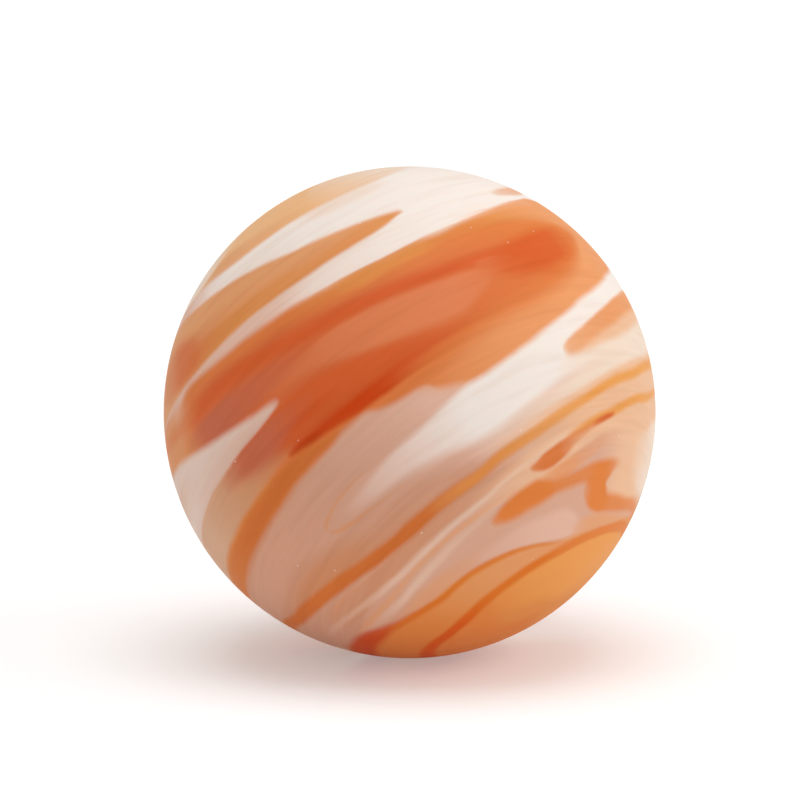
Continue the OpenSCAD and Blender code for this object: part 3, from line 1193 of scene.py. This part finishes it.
@dataclass
class Studio:
    """The floor, the light and the camera.

    Attributes:
        marble_radius: Radius of the marble, in metres.
        camera_elevation: How far the camera looks down, in degrees.
        lens: Focal length, in millimetres.
        sensor: Width of the sensor, in millimetres.
        marble_across: Width of the marble in the picture, in pixels.
        marble_centre: Centre of the marble in the picture, in pixels from its top left corner.
        floor_side: Side of the floor, in metres.
        floor_white: How much light the floor throws back.
        floor_glow: Light that it gives off by itself.
        floor_glow_seen: The same, as the camera sees it, so that it looks as white as a cut-out's ground.
        surround: Strength of the light from all round.
        softboxes: The lights.
    """

    marble_radius: float
    camera_elevation: float = 12.0
    lens: float = 1000.0
    sensor: float = 36.0
    marble_across: float = 492.0
    marble_centre: tuple[float, float] = (409.6, 412.3)
    floor_side: float = 3.0
    floor_white: float = 0.85
    floor_glow: float = 0.13
    floor_glow_seen: float = 0.27
    surround: float = 0.46
    softboxes: tuple[Softbox, ...] = (
        Softbox("top", 0.0, 88.0, 0.6, 0.5, 1.75),
        Softbox("right", 82.0, 26.0, 0.5, 0.4, 0.65),
    )

    def build(self) -> None:
        """Makes the whole studio."""
        self.build_floor()
        self.build_world()
        for softbox in self.softboxes:
            softbox.build()
        self.build_camera()
        bpy.context.scene.view_settings.view_transform = "Standard"

    def build_floor(self) -> bpy.types.Object:
        """Lays a plain pale floor under the marble.

        Returns:
            The floor.
        """
        plane = bmesh.new()
        bmesh.ops.create_grid(plane, x_segments=1, y_segments=1, size=self.floor_side / 2)
        bmesh.ops.translate(plane, verts=plane.verts, vec=(0.0, 0.0, -self.marble_radius))
        floor = placed("floor", finished_mesh("floor", plane, self.floor_material()))
        return floor

    def floor_material(self) -> bpy.types.Material:
        """Makes the floor's white.

        Returns:
            A matt white that the camera sees a little brighter than the marble does.
        """
        material = bpy.data.materials.new("floor")
        material.use_nodes = True
        wiring = Wiring(material.node_tree)
        seen = wiring.node("ShaderNodeLightPath").outputs["Is Camera Ray"]
        glow = wiring.mix(seen, grey(self.floor_glow), grey(self.floor_glow_seen))
        shader = wiring.node(
            "ShaderNodeBsdfPrincipled",
            {
                "Base Color": grey(self.floor_white),
                "Roughness": 0.9,
                "Specular IOR Level": 0.0,
                "Emission Color": glow,
                "Emission Strength": 1.0,
            },
        )
        wiring.node("ShaderNodeOutputMaterial", {"Surface": shader.outputs[0]})
        return material

    def build_world(self) -> None:
        """Surrounds the marble with soft white light."""
        world = bpy.data.worlds.new("studio")
        world.use_nodes = True
        wiring = Wiring(world.node_tree)
        surround = wiring.node("ShaderNodeBackground", {"Color": grey(1.0), "Strength": self.surround})
        wiring.node("ShaderNodeOutputWorld", {"Surface": surround.outputs[0]})
        bpy.context.scene.world = world

    def build_camera(self) -> None:
        """Points the camera so that the marble has its size and place in the picture."""
        pixel = self.sensor / IMAGE_SIDE
        half_angle = math.atan(self.marble_across / 2 * pixel / self.lens)
        distance = self.marble_radius / math.sin(half_angle)
        view = bpy.data.cameras.new("camera")
        view.lens = self.lens
        view.sensor_width = self.sensor
        view.clip_start = distance / 10
        view.clip_end = distance * 20
        camera = placed("camera", view)
        back = outwards(0.0, self.camera_elevation)
        turn = (-back).to_track_quat("-Z", "Y")
        right = turn @ Vector((1.0, 0.0, 0.0))
        up = turn @ Vector((0.0, 1.0, 0.0))
        step = distance * pixel / self.lens
        middle = IMAGE_SIDE / 2
        aside = (middle - self.marble_centre[0]) * step
        above = (self.marble_centre[1] - middle) * step
        camera.location = back * distance + right * aside + up * above
        camera.rotation_euler = turn.to_euler()
        bpy.context.scene.camera = camera


def inner_radius(low: Vector, high: Vector) -> float:
    """Finds the largest ball about the origin that a box holds.

    Args:
        low: The box's lowest corner.
        high: Its highest corner.

    Returns:
        The ball's radius.
    """
    return min(*(-side for side in low), *high)


def main() -> None:
    """Builds the marble and the studio round it."""
    logging.basicConfig(level=logging.INFO)
    radius = inner_radius(*map(Vector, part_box("marble")))
    Marble(radius).build()
    Studio(radius).build()


if __name__ == "__main__":
    main()
